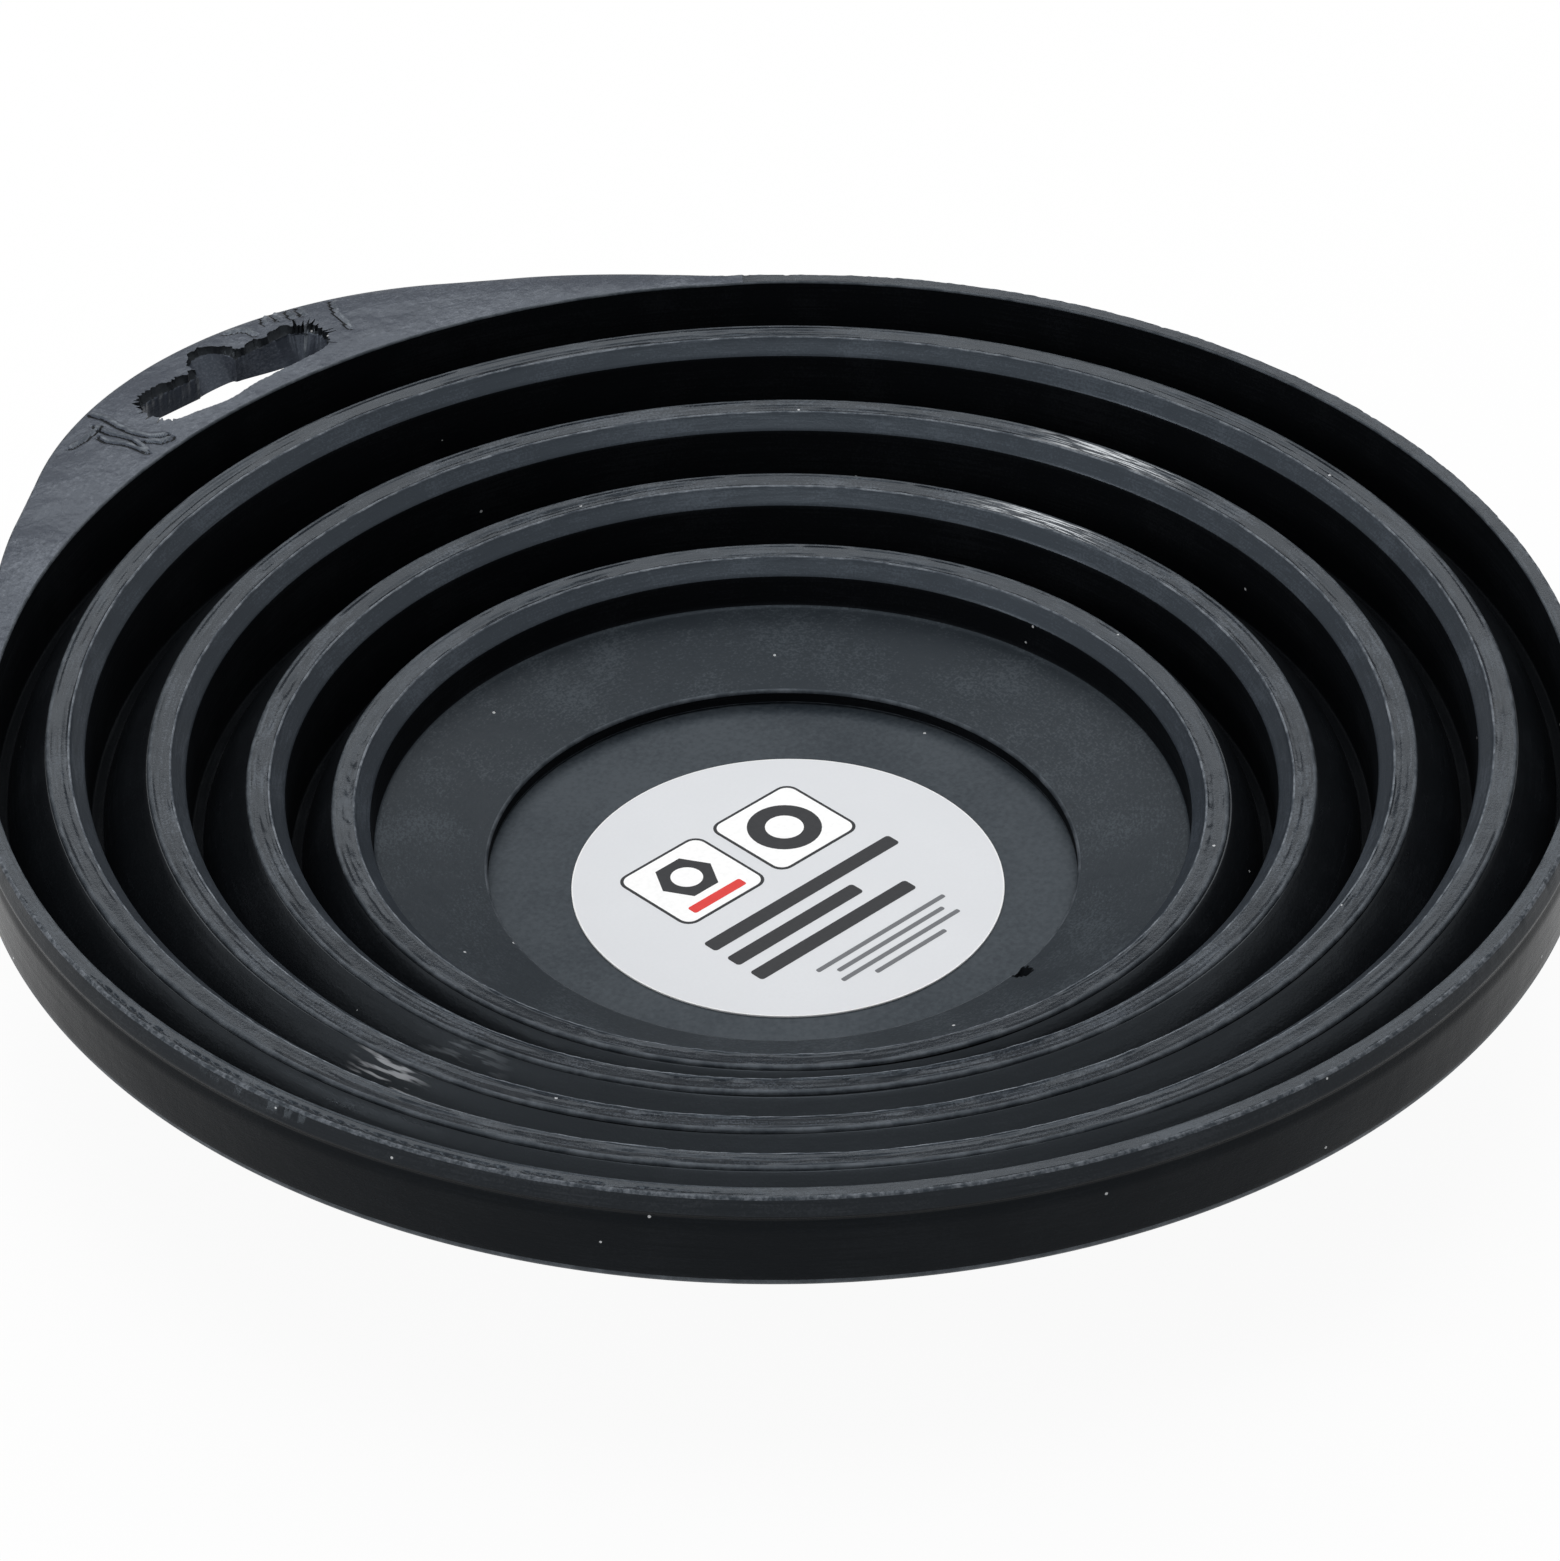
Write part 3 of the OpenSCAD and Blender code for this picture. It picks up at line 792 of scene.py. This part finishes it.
def tab_top(radius):
    """Height of the rim's top: tipped inward, and on the tab domed and turned down at its edge."""
    inward = np.clip((rim_edge - radius) / (rim_edge - rim_in), 0, 1)
    inside = np.clip((dome_start - radius) / dome_run, 0, 1)
    outside = np.clip(1 - (reach - radius) / tab_turn, 0, 1)
    tab_drop = tab_dome * inside ** 2 + tab_fall * outside ** 2
    return rim_top - on_flank * tab_drop - (1 - on_flank) * rim_tilt * inward


def rim_corner(plain, tab):
    """A corner at every angle, which goes from its place on the plain rim to its place on the tab."""
    plain_place = np.stack(np.broadcast_arrays(*plain, reach)[:2], axis=-1)
    tab_place = np.stack(np.broadcast_arrays(*tab, reach)[:2], axis=-1)
    return plain_place + (tab_place - plain_place) * on_tab[:, None]


def same_corner(radius, height):
    """A corner at every angle that has one rule for its place on the plain rim and on the tab."""
    return rim_corner((radius, height), (radius, height))


rim_corners = [(same_corner(rim_in - bead, rim_foot), 0.2 * mm, wall),
               (same_corner(rim_out, rim_foot), 0.7 * mm, shaded_outer_wall),
               (rim_corner((rim_out, crease_start), (rim_out, tab_root)), 0.3 * mm, shaded_outer_wall),
               (rim_corner((rim_out - crease, crease_middle), (rim_out, tab_under)), 0.1 * mm, shaded_outer_wall),
               (rim_corner((rim_out, crease_end), (reach, tab_under)), 0.16 * mm, raised_band),
               (same_corner(reach, tab_top(reach)), 0.2 * mm, lit_tab_finish)]
foot_corner = 1
flash_corner = len(rim_corners) - 1
top_rows = 64
outer_margin = 0.33 * mm
inner_margin = 0.27 * mm
for share in np.linspace(0, 1, top_rows):
    row_radius = (1 - share) * (reach - outer_margin) + share * (rim_in + inner_margin)
    rim_corners.append((same_corner(row_radius, tab_top(row_radius)), 0, lit_tab_finish))
inner_corner = len(rim_corners)
rim_corners += [(same_corner(rim_in, tab_top(rim_in)), 0.16 * mm, wall),
                (same_corner(rim_in, rim_foot + bead), 0.2 * mm, wall),
                (same_corner(rim_in - bead, rim_foot + bead), 0.2 * mm, wall)]
rim_roundings = [corner[1] for corner in rim_corners]
rim_edges = [(foot_corner, edge_highlight), (flash_corner, flash_highlight), (inner_corner, edge_highlight)]
rim_strips = strip_finishes([corner[2] for corner in rim_corners], rim_roundings, rim_edges)
rim_strips = np.repeat(np.array(rim_strips)[None], rim_steps, axis=0)
# Off the tab, the rim's top takes the darker crest rubber in place of the tab's painted light.
rim_strips[(rim_strips == lit_tab_finish) & (on_tab < 0.05)[:, None]] = smooth_crest
rim_outline = rounded(np.stack([corner[0] for corner in rim_corners], axis=1), rim_roundings)

rim_x = rim_outline[..., 0] * np.cos(rim_angles)[:, None]
rim_y = rim_outline[..., 0] * np.sin(rim_angles)[:, None]
tops = rim_outline[..., 1] > rim_top - tab_fall - 0.02 * mm
tops &= rim_outline[..., 0] > rim_in + 0.1 * mm


def line_offset(points):
    """Distance of each point of the rim to a line through points in millimetres, signed by its side."""
    nearest = np.full(rim_x.shape, np.inf)
    signed = np.zeros(rim_x.shape)
    for (x0, y0), (x1, y1) in zip(points, points[1:]):
        start = np.array((x0, y0)) * mm
        run = np.array((x1, y1)) * mm - start
        share = np.clip(((rim_x - start[0]) * run[0] + (rim_y - start[1]) * run[1]) / run.dot(run), 0, 1)
        gap_x = rim_x - start[0] - share * run[0]
        gap_y = rim_y - start[1] - share * run[1]
        gap = np.hypot(gap_x, gap_y)
        side = np.sign(run[0] * gap_y - run[1] * gap_x)
        closer = gap < nearest
        nearest = np.where(closer, gap, nearest)
        signed = np.where(closer, gap * side, signed)
    return signed


# Each wrinkle is a line through given places, and its height, in millimetres.
wrinkles = [([(-12.1, 66.3), (-11.8, 65.1), (-11.8, 63.4), (-11.6, 61.9), (-11.0, 60.5),
              (-10.0, 59.9)], 0.16),
            ([(-13.1, 64.5), (-13.0, 63.1), (-12.6, 62.3), (-12.2, 61.2), (-12.4, 59.2)], 0.16),
            ([(-16.5, 63.7), (-15.2, 63.8), (-14.2, 64.1), (-13.2, 64.4)], 0.1),
            ([(-13.9, 62.9), (-13.9, 62.3), (-13.2, 61.2), (-12.9, 60.5), (-12.6, 58.9)], 0.14),
            ([(-11.6, 60.1), (-11.2, 59.8), (-10.9, 59.3), (-10.1, 59.2)], 0.14),
            ([(12.9, 65.8), (12.0, 64.2), (11.8, 63.1), (11.3, 61.8)], 0.1),
            ([(3.6, 68.4), (4.5, 68.0), (5.0, 67.4), (5.0, 66.5)], 0.12),
            ([(7.5, 68.2), (6.8, 67.2)], 0.12), ([(8.4, 68.1), (8.0, 66.9)], 0.12),
            ([(9.3, 67.2), (9.0, 66.3)], 0.1), ([(10.2, 66.9), (9.9, 66.0)], 0.1)]
wrinkle_width = 0.16 * mm
furrow = 2.3
wrinkle_share = 0.8
for points, depth in wrinkles:
    offset = line_offset(points) / wrinkle_width
    fold = np.exp(-offset ** 2) - 0.9 * np.exp(-(offset + furrow) ** 2)
    rim_outline[..., 1] += np.where(tops, depth * mm * fold, 0)
    # Wrinkle tops take the pale ridge rubber as painted highlight, and their furrows take the dark
    # outer-wall rubber as painted shade.
    rim_strips[tops & (np.abs(offset) < wrinkle_share)] = ridge_highlight
    rim_strips[tops & (np.abs(offset + furrow) < wrinkle_share)] = shaded_outer_wall

flash_reach = 0.28 * mm
flash_height = 0.05 * mm
nick_depth = 0.12 * mm
top_sway = 0.04 * mm
off_tab = 1 - on_tab
edge_gap = np.hypot(rim_outline[..., 0] - reach[:, None], rim_outline[..., 1] - tab_top(reach)[:, None])
at_edge = np.clip(1 - edge_gap / flash_reach, 0, 1)
flash = np.clip(0.45 + 0.5 * ragged(rim_steps, 9) + 0.55 * ragged(rim_steps, 1.5), 0, 1.6)
rim_outline[..., 1] += at_edge * (off_tab * flash * flash_height)[:, None]
nicks = np.clip(ragged(rim_steps, 2) - 1.1, 0, 2) * off_tab
rim_outline[..., 0] -= at_edge * (nicks * nick_depth)[:, None]
sway = top_sway * ragged(rim_steps, 160) * off_tab
rim_outline[..., 1] -= np.where(tops, np.abs(sway)[:, None], 0)

pit_start = math.radians(170)
pit_end = math.radians(228)
pit_spacing = 1.0 * mm
pit_inset = 0.5 * mm
pit_width = 0.13 * mm
pit_depth = 0.2 * mm
pit_turn = np.cos(2 * math.pi * rim_angles * rim_edge / pit_spacing)
pit_turn = np.clip(pit_turn + 0.4 * ragged(rim_steps, 3), 0, 1)
pit_turn *= steep((rim_angles - pit_start) / 0.08) * steep((pit_end - rim_angles) / 0.3)
pit_across = np.exp(-((rim_outline[..., 0] - rim_edge + pit_inset) / pit_width) ** 2)
rim_outline[..., 1] -= np.where(tops, pit_depth * pit_turn[:, None] * pit_across, 0)
rim_outline[..., 1] = np.minimum(rim_outline[..., 1], rim_high.z)
rim = turned("rim", rim_outline, rim_strips, rim_finishes, rim_angles)

slot_length = 18.4 * mm
slot_width = 4.7 * mm
notch_width = 3.8 * mm
notch_rise = 2.4 * mm
slot_near = rim_out + 0.25 * mm
slot_far = slot_near + slot_width
slot_middle = slot_near + slot_width / 2
slot_arm = (slot_length - slot_width) / 2
notch_middle = slot_far + notch_rise - notch_width / 2


def arc_points(x, y, radius, start, end):
    """Points along an arc about a centre, between two angles in degrees."""
    angles = np.radians(np.linspace(start, end, 25))
    return np.stack((x + radius * np.cos(angles), y + radius * np.sin(angles)), axis=-1)


slot_loop = np.concatenate((arc_points(slot_arm, slot_middle, slot_width / 2, -90, 90),
                            [(notch_width / 2, slot_far)],
                            arc_points(0, notch_middle, notch_width / 2, 0, 180),
                            [(-notch_width / 2, slot_far)],
                            arc_points(-slot_arm, slot_middle, slot_width / 2, 90, 270),
                            [(slot_arm, slot_near)]))
slot_run = np.concatenate(([0], np.cumsum(np.linalg.norm(np.diff(slot_loop, axis=0), axis=1))))
slot_count = 420
slot_steps = np.linspace(0, slot_run[-1], slot_count, endpoint=False)
slot_line = np.stack([np.interp(slot_steps, slot_run, slot_loop[:, axis]) for axis in (0, 1)], axis=-1)
slot_way = np.roll(slot_line, -2, axis=0) - np.roll(slot_line, 2, axis=0)
slot_out = np.stack((slot_way[:, 1], -slot_way[:, 0]), axis=-1)
slot_out /= np.linalg.norm(slot_out, axis=1, keepdims=True)
tip_start = 7.4 * mm
tip_run = 1.2 * mm
side_run = 1.5 * mm
at_tips = steep((np.abs(slot_line[:, 0]) - tip_start) / tip_run)
on_far_side = steep((slot_line[:, 1] - slot_middle) / side_run)
in_notch = (slot_line[:, 1] > slot_far) & (np.abs(slot_line[:, 0]) <= notch_width / 2)
on_near_side = steep((slot_middle - slot_line[:, 1]) / side_run)
swell_place = -3 * mm
swell_run = 2.4 * mm
swell = 0.45 * mm * on_near_side * np.exp(-((slot_line[:, 0] - swell_place) / swell_run) ** 2)
flap_start = 0.5 * mm
flap_run = 6.5 * mm
flap = 1.3 * mm * on_far_side * steep((slot_line[:, 0] - flap_start) / flap_run)
torn = np.clip(ragged(slot_count, 2), -1, 2.5) * (0.02 + 0.12 * at_tips + 0.03 * on_far_side) * mm
cracks = np.zeros(slot_count)
crack_count = 14
for place in chance.choice(np.flatnonzero(at_tips > 0.5), crack_count, replace=False):
    cracks[place] = chance.uniform(0.4, 1.3) * mm
shelf = np.clip(0.25 + 0.14 * ragged(slot_count, 9) + 0.07 * ragged(slot_count, 2), 0.05, 0.8) * mm
shelf *= 0.1 + 0.9 * on_far_side
# Each level of the slot's cutter: its height, the share of the notch and how far its line is moved out.
slot_levels = [(tab_under - 1 * mm, 0.1, -flap), (tab_under, 0.1, -flap),
               (rim_top - 0.9 * mm, 0.95, 0.8 * swell), (rim_top - 0.7 * mm, 1, swell + torn),
               (rim_top - 0.55 * mm, 1, swell + torn + 0.7 * shelf + 0.4 * cracks),
               (rim_top + 0.6 * mm, 1, swell + torn + 1.6 * shelf + 1.4 * cracks)]
notch_corner = np.array((-notch_width / 2, slot_far))
right_tip = np.array((slot_arm + 0.8 * slot_width / 2, slot_far - 0.4 * slot_width / 2))
# Two corners of the slot take the pale ridge rubber: painted highlights along their edges.
highlight_reach = 0.16 * mm
painted_highlight_edge = np.linalg.norm(slot_line - notch_corner, axis=1) < highlight_reach
painted_highlight_edge |= np.linalg.norm(slot_line - right_tip, axis=1) < highlight_reach
lip_level = 3
cutter_work = bmesh.new()
cutter_rings = []
for height, notch_share, grown in slot_levels:
    line = slot_line + slot_out * grown[:, None]
    line[:, 1] = np.where(in_notch, slot_far + (line[:, 1] - slot_far) * notch_share, line[:, 1])
    cutter_rings.append([cutter_work.verts.new((x, y, height)) for x, y in line])
cutter_work.faces.new(cutter_rings[0][::-1])
cutter_work.faces.new(cutter_rings[-1])
for level, (low_ring, high_ring) in enumerate(zip(cutter_rings, cutter_rings[1:])):
    for place in range(slot_count):
        after = (place + 1) % slot_count
        side = cutter_work.faces.new((low_ring[place], low_ring[after], high_ring[after], high_ring[place]))
        plain_finish = lit_tab_finish if level < lip_level else raised_band
        side.material_index = ridge_highlight if painted_highlight_edge[place] else plain_finish
cutter_mesh = bpy.data.meshes.new("slot_cutter")
cutter_work.to_mesh(cutter_mesh)
cutter_work.free()
for finish in rim_finishes:
    cutter_mesh.materials.append(finish)
cutter = placed("slot_cutter", cutter_mesh)
cut = rim.modifiers.new("slot", "BOOLEAN")
cut.operation = "DIFFERENCE"
cut.object = cutter
cut.solver = "MANIFOLD"
bpy.context.view_layer.update()
cut_mesh = bpy.data.meshes.new_from_object(rim.evaluated_get(bpy.context.evaluated_depsgraph_get()))
rim.modifiers.clear()
rim.data = cut_mesh
bpy.data.objects.remove(cutter)
sharp_turn = math.radians(50)
cut_mesh.set_sharp_from_angle(angle=sharp_turn)
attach(rim, "rim")
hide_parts("rim_band")

# Floor and background
# A plain pale floor that takes the tray's shadow, and a white surround. Seen directly they are
# near white. In a gloss the surround is white in front and dim low down behind the tray.
floor_mesh = bpy.data.meshes.new("studio_floor")
floor_half = 3.0
floor_gap = 0.02 * mm
floor_mesh.from_pydata([(-floor_half, -floor_half, 0), (floor_half, -floor_half, 0),
                        (floor_half, floor_half, 0), (-floor_half, floor_half, 0)], [], [(0, 1, 2, 3)])
studio_floor = placed("studio_floor", floor_mesh)
studio_floor.location.z = cad_low.z - floor_gap
pale, tree, shader = new_finish("pale_floor")
fill_in(shader, {"Base Color": (0.8, 0.8, 0.8, 1), "Roughness": 0.9, "Specular IOR Level": 0.1})


def seen_share(tree, share):
    """The share where a ray comes from the camera, a gloss or a clear piece, and otherwise 0."""
    path = put(tree, "ShaderNodeLightPath", {})
    shown = path.outputs["Is Camera Ray"]
    for ray in ("Is Glossy Ray", "Is Transmission Ray"):
        shown = worked(tree, "MAXIMUM", shown, path.outputs[ray])
    return worked(tree, "MULTIPLY", shown, share)


glow = put(tree, "ShaderNodeEmission", {"Color": (1, 1, 1, 1), "Strength": 1.0})
mixed_floor = put(tree, "ShaderNodeMixShader", {0: seen_share(tree, 0.94), 1: shader.outputs[0],
                                                2: glow.outputs[0]})
tree.links.new(mixed_floor.outputs[0], tree.nodes["Material Output"].inputs["Surface"])
floor_mesh.materials.append(pale)

world = bpy.data.worlds.new("studio")
bpy.context.scene.world = world
world.use_nodes = True
tree = world.node_tree
fill = tree.nodes["Background"]
fill_in(fill, {"Color": (1, 1, 1, 1), "Strength": 0.45})
direction = put(tree, "ShaderNodeTexCoord", {}).outputs["Generated"]
behind = put(tree, "ShaderNodeVectorMath", {0: direction, 1: (0.69, 0.72, 0)}, operation="DOT_PRODUCT")
height = put(tree, "ShaderNodeSeparateXYZ", {0: direction}).outputs["Z"]
low_share = ramp(tree, height, 0.12, 0.3, 0.65, 0.12)
dimmed = put(tree, "ShaderNodeMapRange", {"Value": behind.outputs["Value"], "From Min": 0.1,
                                          "From Max": 0.7, "To Min": 1.0, "To Max": low_share},
             interpolation_type="SMOOTHSTEP")
direct = put(tree, "ShaderNodeLightPath", {}).outputs["Is Camera Ray"]
backdrop = worked(tree, "MAXIMUM", dimmed.outputs["Result"], direct)
white = put(tree, "ShaderNodeBackground", {"Color": (1, 1, 1, 1), "Strength": backdrop})
sky = put(tree, "ShaderNodeMixShader", {0: seen_share(tree, 1.0), 1: fill.outputs[0], 2: white.outputs[0]})
tree.links.new(sky.outputs[0], tree.nodes["World Output"].inputs["Surface"])

# Lamps
# A soft box overhead, a wide soft panel behind the tray that its crests mirror, and a narrow strip
# low on the left, as in a small product studio.


def soft_box(name, place, width, height, power):
    """A rectangular soft lamp that faces the tray; sizes in metres, power in watts."""
    lamp = bpy.data.lights.new(name, "AREA")
    lamp.shape = "RECTANGLE"
    lamp.size = width
    lamp.size_y = height
    lamp.energy = power
    holder = placed(name, lamp)
    holder.location = place
    holder.rotation_euler = (tray_middle - Vector(place)).to_track_quat("-Z", "Y").to_euler()
    holder.visible_camera = False


tray_middle = Vector((0, 0, 0.018))
soft_box("overhead_box", (-0.1, -0.1, 1.15), width=0.6, height=0.6, power=4.2)
soft_box("back_panel", (0.453, 0.469, 0.707), width=1.3, height=0.54, power=5.6)
strip_azimuth = math.radians(161)
strip_elevation = math.radians(23)
strip_distance = 0.9
strip_place = (strip_distance * math.cos(strip_elevation) * math.cos(strip_azimuth),
               strip_distance * math.cos(strip_elevation) * math.sin(strip_azimuth),
               strip_distance * math.sin(strip_elevation))
soft_box("left_strip", strip_place, width=0.1, height=0.35, power=2.0)

# Camera
# A long lens that looks down at the tray from its front left, as in the photograph.
image_height = 1561
focal_pixels = 5969.3
view_azimuth = math.radians(44)
view_elevation = 0.61875
view_roll = -0.00958
view_distance = 0.450
view_aim = Vector((-0.097, 0.094, 17.163)) * mm
forward = Vector((math.sin(view_azimuth) * math.cos(view_elevation),
                  math.cos(view_azimuth) * math.cos(view_elevation), -math.sin(view_elevation)))
level_right = Vector((math.cos(view_azimuth), -math.sin(view_azimuth), 0))
level_up = level_right.cross(forward)
right = math.cos(view_roll) * level_right + math.sin(view_roll) * level_up
up = right.cross(forward)
lens = bpy.data.cameras.new("photo_camera")
lens.sensor_width = 36
lens.lens = focal_pixels * lens.sensor_width / image_height
lens.clip_start = 0.01
camera = placed("photo_camera", lens)
camera.matrix_world = Matrix((right, up, -forward)).transposed().to_4x4()
camera.location = view_aim - forward * view_distance
bpy.context.scene.camera = camera
bpy.context.scene.view_settings.view_transform = "Standard"
